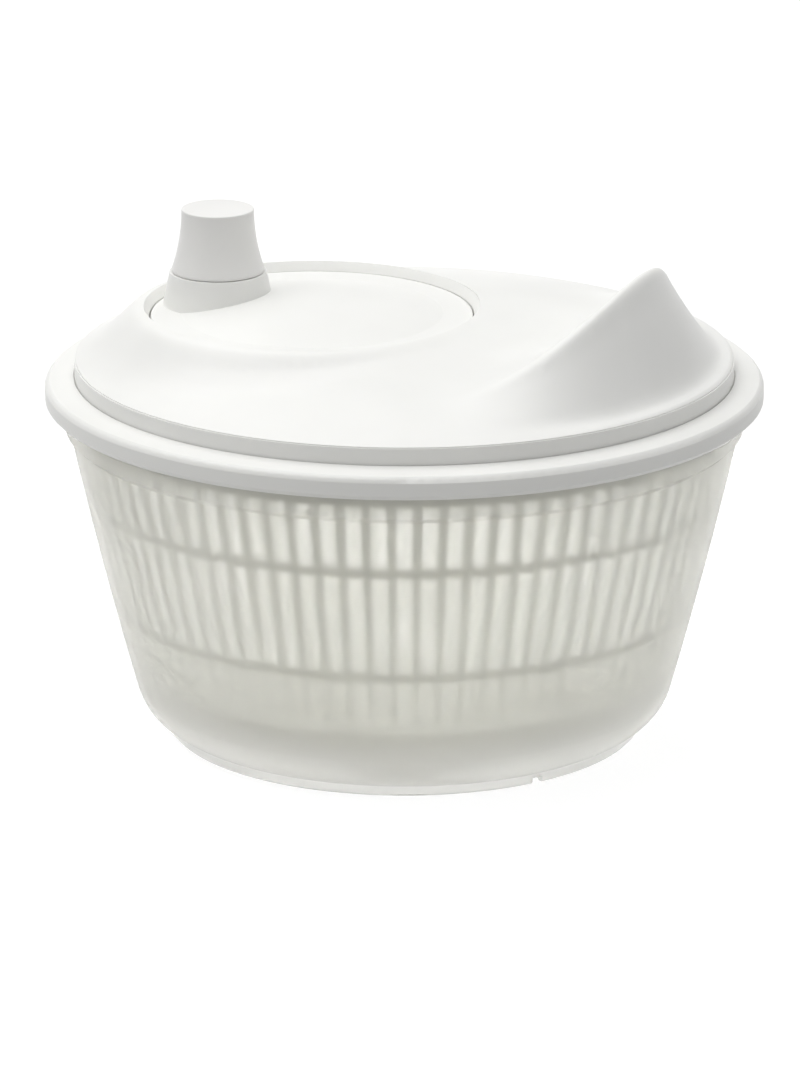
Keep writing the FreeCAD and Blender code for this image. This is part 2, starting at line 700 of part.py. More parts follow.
def lip_height(distance):
    """Height of the lip and its flank at a distance from the crank's axis."""
    edge = PAN_RADIUS.value + S["pan_flare"].value + S["lip_width"].value
    softness = 1.1
    out = (distance - edge) / softness
    fall = softness * math.log1p(math.exp(out)) if out < 30 else distance - edge
    return LIP_TOP.value - S["flank_slope"].value * fall


def grip_section(radius):
    """Shape of the grip along a radius: a sweep up to the crest, then the steep outer face."""
    crest = COVER_RADIUS.value - S["grip_crest_inset"].value
    foot = COVER_RADIUS.value - S["grip_foot_inset"].value
    sweep = S["grip_sweep"].value
    along = max(0.0, (radius - crest + sweep) / sweep)
    inner = along ** 2.4
    outer = (foot - radius) / (foot - crest)
    roundness = 0.2
    return max(0.0, -smooth_max(-inner, -outer, roundness))


def grip_height(azimuth, radius):
    turn = abs((azimuth - S["grip_azimuth"].value + 180) % 360 - 180)
    if turn >= S["grip_spread"].value:
        return 0.0
    share = math.cos(math.radians(90 * turn / S["grip_spread"].value)) ** 2
    return S["grip_height"].value * share * grip_section(radius)


def cover_height(azimuth, radius):
    """Height of the cover's outer face: the dome, the raised lip round the crank disc and the grip."""
    x = radius * math.cos(math.radians(azimuth))
    y = radius * math.sin(math.radians(azimuth))
    distance = math.hypot(x + CENTRE_DISTANCE.value, y)
    lip_edge = PAN_RADIUS.value + S["pan_flare"].value + S["lip_width"].value
    away = min(1.0, max(0.0, (distance - lip_edge) / 8))
    surface = smooth_max(dome_height(radius), lip_height(distance), 1.5 + 4.5 * away)
    return surface + grip_height(azimuth, radius)


def cover_skin():
    """The free-form top of the cover, one upright thickness deep, open inside the crank disc's pan."""
    inner = PAN_RADIUS.value - CENTRE_DISTANCE.value - S["disc_gap"].value * 4
    outer = COVER_RADIUS.value - S["cover_wall"].value * 0.2
    spacing = 3.0
    rings = 34
    margin = 4
    whole_turn = int(360 / spacing)
    rows = []
    for step in range(-margin, whole_turn + margin + 1):
        azimuth = 90.0 + spacing * step
        row = []
        for ring in range(rings + 1):
            radius = inner + (outer - inner) * ring / rings
            x = radius * math.cos(math.radians(azimuth))
            y = radius * math.sin(math.radians(azimuth))
            row.append(Vector(x, y, cover_height(azimuth, radius)))
        rows.append(row)
    surface = Part.BSplineSurface()
    surface.interpolate(rows)
    knots = surface.getUKnots()
    limits = surface.bounds()
    seams = [knots[margin + whole_turn * half // 2] for half in range(3)]
    halves = []
    for low, high in zip(seams, seams[1:]):
        part = surface.copy()
        part.segment(low, high, limits[2], limits[3])
        halves.append(part.toShape().extrude(Vector(0, 0, -S["cover_shell"].value)))
    return halves[0].fuse(halves[1])


def make_lid_cover():
    """The cover: skin, edge wall, gear pan with its crank bearing boss, and the screw bosses."""
    wall_top = EDGE_TOP.value - S["edge_rise"].value * 0.03
    outer = COVER_RADIUS.value
    edge = tube(outer, outer - S["cover_wall"].value, LEDGE_TOP.value, wall_top)
    pan_outside = PAN_RADIUS.value + S["pan_wall"].value + S["pan_flare"].value / 2
    pan_height = LIP_TOP.value - 1 - PAN_BOTTOM.value
    pan = Part.makeCylinder(pan_outside, pan_height, Vector(0, 0, PAN_BOTTOM.value))
    boss_radius = CRANK_BUSH_RADIUS.value + S["boss_wall"].value
    boss_base = Vector(0, 0, CRANK_BOSS_BOTTOM.value)
    boss = Part.makeCylinder(boss_radius, PAN_TOP.value - CRANK_BOSS_BOTTOM.value, boss_base)
    crank_parts = pan.fuse(boss)
    crank_parts.translate(CRANK_BASE)
    shape = cover_skin().fuse(crank_parts).fuse(edge).fuse(screw_bosses())
    hollow = pan_hollow()
    hollow.translate(CRANK_BASE)
    bore = Part.makeCylinder(CRANK_BUSH_RADIUS.value, pan_height * 2, Vector(0, 0, CRANK_BOSS_BOTTOM.value - 1))
    bore.translate(CRANK_BASE)
    stem_hole = Part.makeCylinder(HUB_BUSH_RADIUS.value, pan_height, Vector(0, 0, PAN_BOTTOM.value - 1))
    shape = shape.cut([hollow, bore, stem_hole] + screw_pilots())
    return feature_of("lid_cover", shape.removeSplitter())


def pan_hollow():
    """What the pan leaves open: a straight well with a flared mouth."""
    radius = PAN_RADIUS.value
    flare = S["pan_flare"].value
    flare_foot = LIP_TOP.value - S["pan_flare_height"].value
    above = LIP_TOP.value + S["pan_depth"].value
    return turned([
        (0, PAN_TOP.value),
        (radius, PAN_TOP.value),
        (radius, flare_foot),
        (radius + flare, LIP_TOP.value),
        (radius + flare, above),
        (0, above),
    ])


def cover_screw_angle():
    return 180.0 / S["cover_screws"].value


def screw_bosses():
    top = dome_height(COVER_SCREW_RADIUS.value + S["screw_boss_radius"].value) - 1
    base = Vector(0, 0, LEDGE_TOP.value)
    boss = Part.makeCylinder(S["screw_boss_radius"].value, top - LEDGE_TOP.value, base)
    return ring_of(boss, COVER_SCREW_RADIUS.value, int(S["cover_screws"].value), cover_screw_angle())


def screw_pilots():
    base = Vector(0, 0, LEDGE_TOP.value - 1)
    pilot = Part.makeCylinder(S["screw_radius"].value, S["screw_bite"].value + 1.5, base)
    return ring_of(pilot, COVER_SCREW_RADIUS.value, int(S["cover_screws"].value), cover_screw_angle())


def make_lid_screws():
    head_bottom = PLATE_BOTTOM.value - S["screw_head_height"].value
    tip = LEDGE_TOP.value + S["screw_bite"].value
    one = screw(S["screw_head_radius"].value, S["screw_head_height"].value, S["screw_radius"].value,
                head_bottom, tip)
    count = int(S["cover_screws"].value)
    screws = ring_of(one, COVER_SCREW_RADIUS.value, count, cover_screw_angle())
    return feature_of("lid_screws", Part.makeCompound(screws))


def make_bush(label, bore, outside, bottom, seat, axis):
    """A bearing bush pressed in from above; its flange rests on the seat."""
    body = new_body(label)
    flange = outside + S["bush_flange"]
    revolve(body, [
        (bore, bottom),
        (outside, bottom),
        (outside, seat),
        (flange, seat),
        (flange, seat + S["bush_flange_height"]),
        (bore, seat + S["bush_flange_height"]),
    ])
    move_to(body, axis)
    return body


def make_washer(label, bore, outside, bottom, axis):
    body = new_body(label)
    top = bottom + S["washer_thickness"]
    revolve(body, [(bore, bottom), (outside, bottom), (outside, top), (bore, top)])
    move_to(body, axis)
    return body


def make_screw(label, head_bottom, tip, axis):
    """A screw driven upwards, head below."""
    body = new_body(label)
    head = S["screw_head_radius"]
    neck = head_bottom + S["screw_head_height"]
    shank = S["screw_radius"]
    revolve(body, [
        (ZERO, head_bottom),
        (head * 0.8, head_bottom),
        (head, head_bottom + S["screw_head_height"] * 0.4),
        (head, neck),
        (shank, neck),
        (shank, tip - shank),
        (ZERO, tip),
    ])
    move_to(body, axis)
    return body


def move_to(body, axis):
    """Stands a body on one of the turning axes, given as a pair of sizes."""
    body.Placement = Placement(Vector(axis[0].value, axis[1].value, 0), Rotation())
    body.setExpression("Placement.Base.x", axis[0].text)
    body.setExpression("Placement.Base.y", axis[1].text)
    doc.recompute()


# Gears.


def involute(angle):
    return math.tan(angle) - angle


def tooth_half_angle(radius, teeth, play):
    """Half the angle of a tooth at a radius, on a 20 degree involute."""
    pressure = math.radians(20)
    pitch = S["gear_module"].value * teeth / 2
    base = pitch * math.cos(pressure)
    at_radius = math.acos(min(1.0, base / radius))
    return math.pi / (2 * teeth) + involute(pressure) - involute(at_radius) - play / (2 * pitch)


def gear_wire(teeth, inner, outer, play):
    """A closed gear outline between two radii: involute flanks joined by arcs at both radii."""
    base = S["gear_module"].value * teeth / 2 * math.cos(math.radians(20))
    flank_start = max(inner, base + 0.01)
    flank_points = 7
    edges = []

    def at(radius, angle):
        return Vector(radius * math.cos(angle), radius * math.sin(angle), 0)

    def flank(middle, side):
        points = []
        for step in range(flank_points):
            radius = flank_start + (outer - flank_start) * step / (flank_points - 1)
            points.append(at(radius, middle + side * tooth_half_angle(radius, teeth, play)))
        return points

    pitch_angle = 2 * math.pi / teeth
    for tooth in range(teeth):
        middle = tooth * pitch_angle
        rising = flank(middle, -1)
        falling = list(reversed(flank(middle, 1)))
        foot_angle = tooth_half_angle(flank_start, teeth, play)
        foot = at(inner, middle - foot_angle)
        if flank_start > inner + 0.02:
            edges.append(Part.LineSegment(foot, rising[0]).toShape())
        curve = Part.BSplineCurve()
        curve.interpolate(rising)
        edges.append(curve.toShape())
        edges.append(Part.Arc(rising[-1], at(outer, middle), falling[0]).toShape())
        curve = Part.BSplineCurve()
        curve.interpolate(falling)
        edges.append(curve.toShape())
        next_foot = at(inner, middle + pitch_angle - foot_angle)
        root = at(inner, middle + foot_angle)
        if flank_start > inner + 0.02:
            edges.append(Part.LineSegment(falling[-1], root).toShape())
        start = root if flank_start > inner + 0.02 else falling[-1]
        edges.append(Part.Arc(start, at(inner, middle + pitch_angle / 2), next_foot).toShape())
    return Part.Wire(edges)


def make_ring_gear():
    """Internal gear: the spaces between its teeth have the outline of an external gear."""
    module = S["gear_module"].value
    teeth = int(S["ring_teeth"].value)
    pitch = module * teeth / 2
    face = DISC_EDGE_BOTTOM.value - GEAR_BOTTOM.value
    spaces = Part.Face(gear_wire(teeth, pitch - 0.85 * module, RING_ROOT.value, -S["backlash"].value / 2))
    blank = Part.makeCylinder(RING_OUTSIDE.value, face)
    shape = blank.cut(spaces.extrude(Vector(0, 0, face)))
    play = S["running_fit"].value
    hole = Part.makeCylinder(S["small_screw_radius"].value + play, face)
    seat = Part.makeCylinder(S["small_head_radius"].value + play, S["small_head_height"].value + play)
    count = int(S["ring_screws"].value)
    shape = shape.cut(ring_of(hole.fuse(seat), RING_SCREW_RADIUS.value, count))
    gear = feature_of("ring_gear", shape)
    gear.Placement = Placement(CRANK_BASE + Vector(0, 0, GEAR_BOTTOM.value), Rotation())
    return gear


def make_ring_screws():
    tip = DISC_EDGE_BOTTOM.value + S["disc_thickness"].value * 0.6
    one = screw(S["small_head_radius"].value, S["small_head_height"].value, S["small_screw_radius"].value,
                GEAR_BOTTOM.value, tip)
    screws = ring_of(one, RING_SCREW_RADIUS.value, int(S["ring_screws"].value))
    group = feature_of("ring_gear_screws", Part.makeCompound(screws))
    group.Placement = Placement(CRANK_BASE, Rotation())
    return group


def make_pinion():
    """Pinion with its stem, the square that drives the basket holder, and the screw's pilot hole."""
    module = S["gear_module"].value
    teeth = int(S["pinion_teeth"].value)
    pitch = module * teeth / 2
    outline = gear_wire(teeth, pitch - 1.25 * module, pitch + module, S["backlash"].value / 2)
    gear = Part.Face(outline).extrude(Vector(0, 0, S["gear_face"].value))
    gear.translate(Vector(0, 0, GEAR_BOTTOM.value))
    shoulder_top = GEAR_BOTTOM.value
    bush_top = PLATE_BOTTOM + S["hub_bush_length"] + S["bush_flange_height"]
    shoulder_bottom = (bush_top + S["end_play"]).value
    shoulder = Part.makeCylinder(S["stem_radius"].value * 1.3, shoulder_top - shoulder_bottom,
                                 Vector(0, 0, shoulder_bottom))
    stem = Part.makeCylinder(S["stem_radius"].value, shoulder_bottom - HUB_TOP.value,
                             Vector(0, 0, HUB_TOP.value))
    side = S["square_side"].value
    square_bottom = HUB_BOTTOM.value + S["end_play"].value
    square = Part.makeBox(side, side, HUB_TOP.value - square_bottom,
                          Vector(-side / 2, -side / 2, square_bottom))
    pilot_top = square_bottom + S["screw_bite"].value + 1
    pilot = Part.makeCylinder(S["screw_radius"].value, pilot_top - square_bottom, Vector(0, 0, square_bottom))
    shape = gear.fuse([shoulder, stem, square]).cut(pilot)
    return feature_of("drive_pinion", shape.removeSplitter())


# Crank and knob.


def make_crank_disc():
    """The domed crank disc with its spindle and the hollow stand that carries the knob."""
    body = new_body("crank_disc")
    edge = DISC_RADIUS
    rounding = S["disc_thickness"] / 3
    edge_top = DISC_EDGE_TOP
    edge_bottom = DISC_EDGE_BOTTOM
    crown_top = edge_top + S["disc_dome"]
    crown_bottom = crown_top - S["disc_thickness"]
    flat = RING_ROOT - S["ring_rim"] / 2
    arc_top = dome_radius(flat, S["disc_dome"])
    spindle_bottom = CRANK_BOSS_BOTTOM - S["end_play"]
    shoulder = PAN_TOP + S["bush_flange_height"] + S["end_play"]
    collar = CRANK_BUSH_RADIUS
    revolve(body, [
        (ZERO, spindle_bottom),
        (S["spindle_radius"], spindle_bottom),
        (S["spindle_radius"], shoulder),
        (collar, shoulder),
        (collar, edge_bottom),
        (edge, edge_bottom),
        (edge, edge_top - rounding, rounding, 1),
        (edge - rounding, edge_top),
        (flat, edge_top, arc_top, 1),
        (ZERO, crown_top),
    ])
    recess = collar + S["disc_thickness"]
    under = flat - S["disc_thickness"] * 2
    revolve(body, [
        (recess, edge_bottom),
        (recess, crown_bottom - S["disc_dome"] / 3),
        (under, edge_bottom),
    ], "PartDesign::Groove")
    add_stand(body)
    screw_hole = new_sketch(body, "XY_Plane")
    add_circle(screw_hole, ZERO, ZERO, S["screw_radius"])
    pocket_up(body, screw_hole, spindle_bottom, S["screw_bite"] + 1)
    pilots = new_sketch(body, "XY_Plane")
    add_circle(pilots, RING_SCREW_RADIUS, ZERO, S["small_screw_radius"])
    depth = S["disc_thickness"] * 0.65
    repeat(body, pocket_up(body, pilots, edge_bottom, depth), S["ring_screws"])
    move_to(body, CRANK_AXIS)
    return body


def add_stand(body):
    """The tapered, hollow knob stand with a post round the pin's seat."""
    sketch = new_sketch(body, "XY_Plane")
    add_circle(sketch, KNOB_X, KNOB_Y, S["stand_foot_radius"])
    pad = pad_between(body, sketch, DISC_EDGE_TOP, STUD_TOP)
    taper = (S["stand_foot_radius"] - S["stand_top_radius"]) / S["stud_rise"]
    pad.TaperAngle = -math.degrees(math.atan(taper.value))
    pad.setExpression("TaperAngle", f"-atan({taper.text})")
    doc.recompute()
    hollow = new_sketch(body, "XY_Plane")
    add_circle(hollow, KNOB_X, KNOB_Y, S["stand_top_radius"] - S["stand_wall"])
    add_circle(hollow, KNOB_X, KNOB_Y, S["pin_radius"] + S["pin_post_wall"])
    depth = STUD_TOP - S["stand_wall"] - DISC_EDGE_BOTTOM
    pocket_up(body, hollow, DISC_EDGE_BOTTOM, depth)
    seat = new_sketch(body, "XY_Plane")
    add_circle(seat, KNOB_X, KNOB_Y, S["pin_radius"])
    pocket_up(body, seat, STUD_TOP - S["pin_seat"], S["pin_seat"])
    recess = new_sketch(body, "XY_Plane")
    add_circle(recess, KNOB_X, KNOB_Y, KNOB_WASHER_RADIUS + S["washer_clearance"])
    pocket_up(body, recess, KNOB_WASHER_BOTTOM, S["washer_recess"])


def dome_radius(run, rise):
    """Radius of an arc that rises by the given amount over a run, level in the middle."""
    return (run * run + rise * rise) / (rise * 2)


def pocket_up(body, sketch, from_height, depth):
    """Cuts a blind pocket upwards from a height."""
    before = body.Shape.Volume
    sketch.AttachmentOffset = Placement(Vector(0, 0, from_height.value), Rotation())
    sketch.setExpression("AttachmentOffset.Base.z", from_height.text)
    pocket = body.newObject("PartDesign::Pocket", body.Label + "_bore")
    pocket.Profile = sketch
    pocket.Length = depth.value
    pocket.setExpression("Length", depth.text)
    pocket.Reversed = True
    body.Tip = pocket
    doc.recompute()
    check_changed(body, before)
    return pocket


def make_knob_shell():
    """The knob's hollow body: flared outside, with a tube for the pin hung from a web."""
    body = new_body("knob_shell")
    wall = S["knob_wall"]
    top = KNOB_TOP - S["cap_thickness"]
    lip_top = KNOB_BOTTOM + S["knob_lip"]
    web_top = top - S["knob_web_drop"]
    web_bottom = web_top - wall
    bore = S["pin_radius"] + S["running_fit"]
    tube_radius = bore + wall
    revolve(body, [
        (bore, KNOB_BOTTOM),
        (tube_radius, KNOB_BOTTOM),
        (tube_radius, web_bottom),
        (S["knob_top_radius"] - wall, web_bottom, S["knob_waist"] * 0.6, 1),
        (S["knob_foot_radius"] - wall, KNOB_BOTTOM),
        (S["knob_foot_radius"], KNOB_BOTTOM),
        (S["knob_foot_radius"], lip_top, S["knob_waist"], -1),
        (S["knob_top_radius"], top),
        (S["knob_top_radius"] - wall, top),
        (S["knob_top_radius"] - wall, web_top),
        (bore, web_top),
    ])
    move_to(body, KNOB_AXIS)
    return body


def make_knob_cap():
    """The flat cap that closes the knob, with a plug ring inside the knob's mouth."""
    body = new_body("knob_cap")
    bottom = KNOB_TOP - S["cap_thickness"]
    plug = S["knob_top_radius"] - S["knob_wall"]
    plug_bottom = bottom - S["cap_thickness"]
    revolve(body, [
        (ZERO, bottom),
        (plug - S["knob_wall"] / 2, bottom),
        (plug - S["knob_wall"] / 2, plug_bottom),
        (plug, plug_bottom),
        (plug, bottom),
        (S["knob_top_radius"], bottom),
        (S["knob_top_radius"], KNOB_TOP - S["cap_rounding"], S["cap_rounding"], 1),
        (S["knob_top_radius"] - S["cap_rounding"], KNOB_TOP),
        (ZERO, KNOB_TOP),
    ])
    move_to(body, KNOB_AXIS)
    return body


def make_knob_pin():
    """The headed pin that the knob turns on, pressed into the stand."""
    body = new_body("knob_pin")
    neck = KNOB_TOP - S["cap_thickness"] - S["knob_web_drop"] + S["end_play"]
    foot = STUD_TOP - S["pin_seat"]
    revolve(body, [
        (ZERO, foot),
        (S["pin_radius"], foot),
        (S["pin_radius"], neck),
        (S["pin_head_radius"], neck),
        (S["pin_head_radius"], neck + S["pin_head_height"]),
        (ZERO, neck + S["pin_head_height"]),
    ])
    move_to(body, KNOB_AXIS)
    return body


# Basket holder.


def make_basket_holder():
    """The spoked plate on the pinion's square: its notched skirt carries the basket round."""
    body = new_body("basket_holder")
    outside = holder_outside()
    inside = outside - S["holder_skirt"]
    skirt_foot = HOLDER_BOTTOM - S["holder_skirt_depth"]
    hub = S["holder_hub_radius"]
    revolve(body, [
        (ZERO, HUB_BOTTOM),
        (hub, HUB_BOTTOM),
        (hub, HOLDER_BOTTOM),
        (inside, HOLDER_BOTTOM),
        (inside, skirt_foot),
        (outside, skirt_foot),
        (outside, HOLDER_TOP),
        (hub, HOLDER_TOP),
        (hub, HUB_TOP),
        (ZERO, HUB_TOP),
    ])
    square = new_sketch(body, "XY_Plane")
    half = S["square_side"] / 2 + S["running_fit"] / 2
    add_rectangle(square, -half, half, -half, half)
    cut_through(body, square, True)
    add_ribs(body, hub, inside)
    add_windows(body, hub, inside)
    notch = new_sketch(body, "XY_Plane")
    notch_half = S["key_width"] / 2 + S["key_clearance"]
    notch_inside = inside - S["key_depth"] - S["key_clearance"]
    add_rectangle(notch, notch_inside, outside + 1, -notch_half, notch_half)
    set_turn(notch, as_size(180) / S["slot_count"])
    pocket = pocket_up(body, notch, skirt_foot, HOLDER_BOTTOM - skirt_foot)
    repeat(body, pocket, S["key_count"])
    return body


def set_turn(sketch, turn):
    """Turns a sketch of the XY plane about Z."""
    sketch.AttachmentOffset = Placement(sketch.AttachmentOffset.Base, Rotation(UP, turn.value))
    sketch.setExpression("AttachmentOffset.Rotation.Angle", turn.text)


def add_ribs(body, hub, inside):
    half = S["holder_rib_width"] / 2
    ribs = new_sketch(body, "XY_Plane")
    add_rectangle(ribs, hub / 2 + S["square_side"] / 2, inside + S["holder_skirt"] / 2, -half, half)
    pad = pad_between(body, ribs, HOLDER_BOTTOM - S["holder_rib_height"], HOLDER_BOTTOM)
    set_turn(ribs, as_size(180) / S["holder_rib_count"])
    doc.recompute()
    repeat(body, pad, S["holder_rib_count"])


def add_windows(body, hub, inside):
    """Openings in the plate between the ribs, each a wedge cut short at both ends."""
    near = hub * 2.2
    far = inside * 0.86
    spread = math.pi / S["holder_rib_count"].value * 0.72
    text = f"tan(180 / {S['holder_rib_count'].text} * 0.72)"
    slope = Size(math.tan(spread), text)
    window = new_sketch(body, "XY_Plane")
    add_outline(window, [
        (near, -near * slope),
        (far, -far * slope),
        (far, far * slope),
        (near, near * slope),
    ])
    pocket = pocket_up(body, window, HOLDER_BOTTOM, S["holder_thickness"])
    repeat(body, pocket, S["holder_rib_count"])


def make_all():
    hub_seat = PLATE_BOTTOM + S["hub_bush_length"]
    crank_washer_bottom = CRANK_BOSS_BOTTOM - S["end_play"] - S["washer_thickness"]
    crank_head_bottom = crank_washer_bottom - S["screw_head_height"]
    hub_washer_bottom = HUB_BOTTOM - S["washer_thickness"]
    hub_head_bottom = hub_washer_bottom - S["screw_head_height"]
    screw_bore = S["screw_radius"] + S["running_fit"]
    pin_bore = S["pin_radius"] + S["running_fit"]
    return [
        make_bowl(),
        make_basket(),
        make_lid_base(),
        make_lid_cover(),
        make_lid_screws(),
        make_bush("stem_bush", STEM_BORE, HUB_BUSH_RADIUS, PLATE_BOTTOM, hub_seat, BOWL_AXIS),
        make_bush("crank_bush", SPINDLE_BORE, CRANK_BUSH_RADIUS, CRANK_BOSS_BOTTOM, PAN_TOP, CRANK_AXIS),
        make_crank_disc(),
        make_ring_gear(),
        make_ring_screws(),
        make_washer("crank_washer", screw_bore, CRANK_BUSH_RADIUS, crank_washer_bottom, CRANK_AXIS),
        make_screw("crank_screw", crank_head_bottom, crank_washer_bottom + S["screw_bite"], CRANK_AXIS),
        make_knob_pin(),
        make_washer("knob_washer", pin_bore, KNOB_WASHER_RADIUS, KNOB_WASHER_BOTTOM, KNOB_AXIS),
        make_knob_shell(),
        make_knob_cap(),
        make_pinion(),
        make_basket_holder(),
        make_washer("holder_washer", screw_bore, S["washer_radius"], hub_washer_bottom, BOWL_AXIS),
        make_screw("holder_screw", hub_head_bottom, hub_washer_bottom + S["screw_bite"], BOWL_AXIS),
    ]


def check_document():
    for item in doc.Objects:
        if any(word in item.State for word in ("Invalid", "Error")):
            raise RuntimeError(f"{item.Name}: {item.State}")


def write_parts(nodes):
    os.makedirs("parts", exist_ok=True)
    for node in nodes:
        if node.Shape.isNull() or not node.Shape.isValid():
            raise RuntimeError(f"{node.Label}: no valid shape")
        node.Shape.exportStep(f"parts/{node.Label}.step")


nodes = make_all()
doc.recompute()
check_document()
write_parts(nodes)
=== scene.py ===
"""Looks for the salad spinner: camera, soft light, floor, and a procedural material for every piece."""

import json
import math

import bpy
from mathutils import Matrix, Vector

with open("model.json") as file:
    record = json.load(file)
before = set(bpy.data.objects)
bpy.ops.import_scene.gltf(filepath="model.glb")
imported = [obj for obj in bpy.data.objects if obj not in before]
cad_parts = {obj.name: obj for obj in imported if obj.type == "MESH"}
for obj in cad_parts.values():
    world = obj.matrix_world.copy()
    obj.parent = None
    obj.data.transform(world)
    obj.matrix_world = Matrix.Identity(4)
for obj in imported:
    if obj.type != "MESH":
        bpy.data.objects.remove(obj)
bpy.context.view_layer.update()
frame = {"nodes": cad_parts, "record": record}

# Camera: a long lens a little above the lid, square to the line from the knob to the grip.
CAMERA_ELEVATION = math.radians(17.3)
CAMERA_DISTANCE = 2.4055
CAMERA_TARGET = Vector((-0.0015, 0.0, 0.0627))
SENSOR = 36.0
FOCAL_LENGTH = 231.0

# Colours, linear, with alpha.
PURE_WHITE = (1.0, 1.0, 1.0, 1.0)
LID_WHITE = (0.86, 0.86, 0.835, 1.0)
KNOB_WHITE = (0.84, 0.835, 0.815, 1.0)
BASKET_WHITE = (0.95, 0.95, 0.915, 1.0)
FROSTED = (0.97, 0.966, 0.938, 1.0)
NYLON = (0.72, 0.70, 0.62, 1.0)
ACETAL = (0.62, 0.62, 0.60, 1.0)
STEEL = (0.56, 0.56, 0.57, 1.0)
FLOOR_WHITE = (0.12, 0.12, 0.12, 1.0)

# Floor: it glows white to the camera, and gives less light than that to the object's sides.
FLOOR_HALF = 6.0
FLOOR_ROUGHNESS = 0.9
FLOOR_GLOW = 0.92
FLOOR_BOUNCE = 0.34

# Light: each softbox as name, place, width, height and watts, in metres. All of them point at one place.
LIGHT_TARGET = (0.0, 0.0, 0.10)
SOFTBOXES = (
    ("top_softbox", (-0.3, 0.1, 1.6), 2.0, 1.8, 25.2),
    ("back_softbox", (0.0, 1.5, 0.35), 2.6, 0.7, 12.0),
    ("bowl_backlight", (0.0, 1.4, 0.20), 2.8, 0.9, 90.0),
    ("left_softbox", (-1.7, 0.1, 0.6), 1.2, 1.0, 1.5),
    ("right_softbox", (1.7, 0.3, 0.6), 1.2, 1.0, 1.0),
)
NO_GLOSS = ("back_softbox", "bowl_backlight")
NO_DIFFUSE = ("bowl_backlight",)
WORLD_STRENGTH = 0.37

# Noise in the materials: the middle part of its range is used, scales are per metre and depths in metres.
NOISE_LOW = 0.3
NOISE_HIGH = 0.7
CLOUD_SCALE = 26.0
GRAIN_SCALE = 1500.0
BOWL_CLOUD_SCALE = 18.0
BOWL_GRAIN_SCALE = 1100.0
STREAK_SCALE = 900.0
FIBRE_SCALE = 40.0
PLASTIC_IOR = 1.49
BOWL_IOR = 1.45


# Materials.


def new_material(name):
    """An empty node material with its Principled shader."""
    material = bpy.data.materials.new(name)
    material.use_nodes = True
    nodes = material.node_tree.nodes
    shader = nodes["Principled BSDF"]
    return material, nodes, material.node_tree.links, shader


def add_noise(nodes, links, coordinates, scale, detail, stretch=(1, 1, 1)):
    """Noise in the piece's own space, in metres, optionally stretched."""
    mapping = nodes.new("ShaderNodeMapping")
    mapping.inputs["Scale"].default_value = stretch
    links.new(coordinates.outputs["Object"], mapping.inputs["Vector"])
    noise = nodes.new("ShaderNodeTexNoise")
    noise.inputs["Scale"].default_value = scale
    noise.inputs["Detail"].default_value = detail
    links.new(mapping.outputs["Vector"], noise.inputs["Vector"])
    return noise


def vary_colour(nodes, links, noise, shader, colour, spread):
    """Drives the base colour from the noise, a little darker and lighter than the colour."""
    ramp = nodes.new("ShaderNodeValToRGB")
    low = [channel * (1 - spread) for channel in colour[:3]] + [1.0]
    high = [min(1.0, channel * (1 + spread * 0.5)) for channel in colour[:3]] + [1.0]
    ramp.color_ramp.elements[0].position = NOISE_LOW
    ramp.color_ramp.elements[1].position = NOISE_HIGH
    ramp.color_ramp.elements[0].color = low
    ramp.color_ramp.elements[1].color = high
    links.new(noise.outputs["Fac"], ramp.inputs["Fac"])
    links.new(ramp.outputs["Color"], shader.inputs["Base Color"])


def vary_roughness(nodes, links, noise, shader, low, high):
    """Drives the roughness from the noise, between two values."""
    spread = nodes.new("ShaderNodeMapRange")
    spread.inputs["From Min"].default_value = NOISE_LOW
    spread.inputs["From Max"].default_value = NOISE_HIGH
    spread.inputs["To Min"].default_value = low
    spread.inputs["To Max"].default_value = high
    links.new(noise.outputs["Fac"], spread.inputs["Value"])
    links.new(spread.outputs["Result"], shader.inputs["Roughness"])


def add_bump(nodes, links, noise, shader, depth, strength):
    """Raises the noise as a fine relief."""
    bump = nodes.new("ShaderNodeBump")
    bump.inputs["Distance"].default_value = depth
    bump.inputs["Strength"].default_value = strength
    links.new(noise.outputs["Fac"], bump.inputs["Height"])
    links.new(bump.outputs["Normal"], shader.inputs["Normal"])


def moulded_plastic(name, colour, roughness, grain_depth=0.00003, spread=0.02, subsurface=0.0, glow=0.0):
    """Satin injection-moulded plastic: cloudy tint, uneven sheen and a fine spark-eroded grain."""
    material, nodes, links, shader = new_material(name)
    coordinates = nodes.new("ShaderNodeTexCoord")
    cloud = add_noise(nodes, links, coordinates, CLOUD_SCALE, 3.0)
    grain = add_noise(nodes, links, coordinates, GRAIN_SCALE, 2.0)
    vary_colour(nodes, links, cloud, shader, colour, spread)
    vary_roughness(nodes, links, cloud, shader, roughness - 0.04, roughness + 0.05)
    add_bump(nodes, links, grain, shader, grain_depth, 0.35)
    shader.inputs["IOR"].default_value = PLASTIC_IOR
    if subsurface:
        shader.inputs["Subsurface Weight"].default_value = subsurface
        shader.inputs["Subsurface Radius"].default_value = (1.0, 1.0, 0.9)
        shader.inputs["Subsurface Scale"].default_value = 0.003
    if glow:
        mix_translucent(material, nodes, links, shader, glow)
    return material


def mix_translucent(material, nodes, links, shader, share):
    """Lets part of the light that falls on one face glow through to the other."""
    glow = nodes.new("ShaderNodeBsdfTranslucent")
    colour = shader.inputs["Base Color"].links[0].from_socket
    links.new(colour, glow.inputs["Color"])
    mix = nodes.new("ShaderNodeMixShader")
    mix.inputs["Fac"].default_value = share
    links.new(shader.outputs["BSDF"], mix.inputs[1])
    links.new(glow.outputs["BSDF"], mix.inputs[2])
    links.new(mix.outputs["Shader"], nodes["Material Output"].inputs["Surface"])


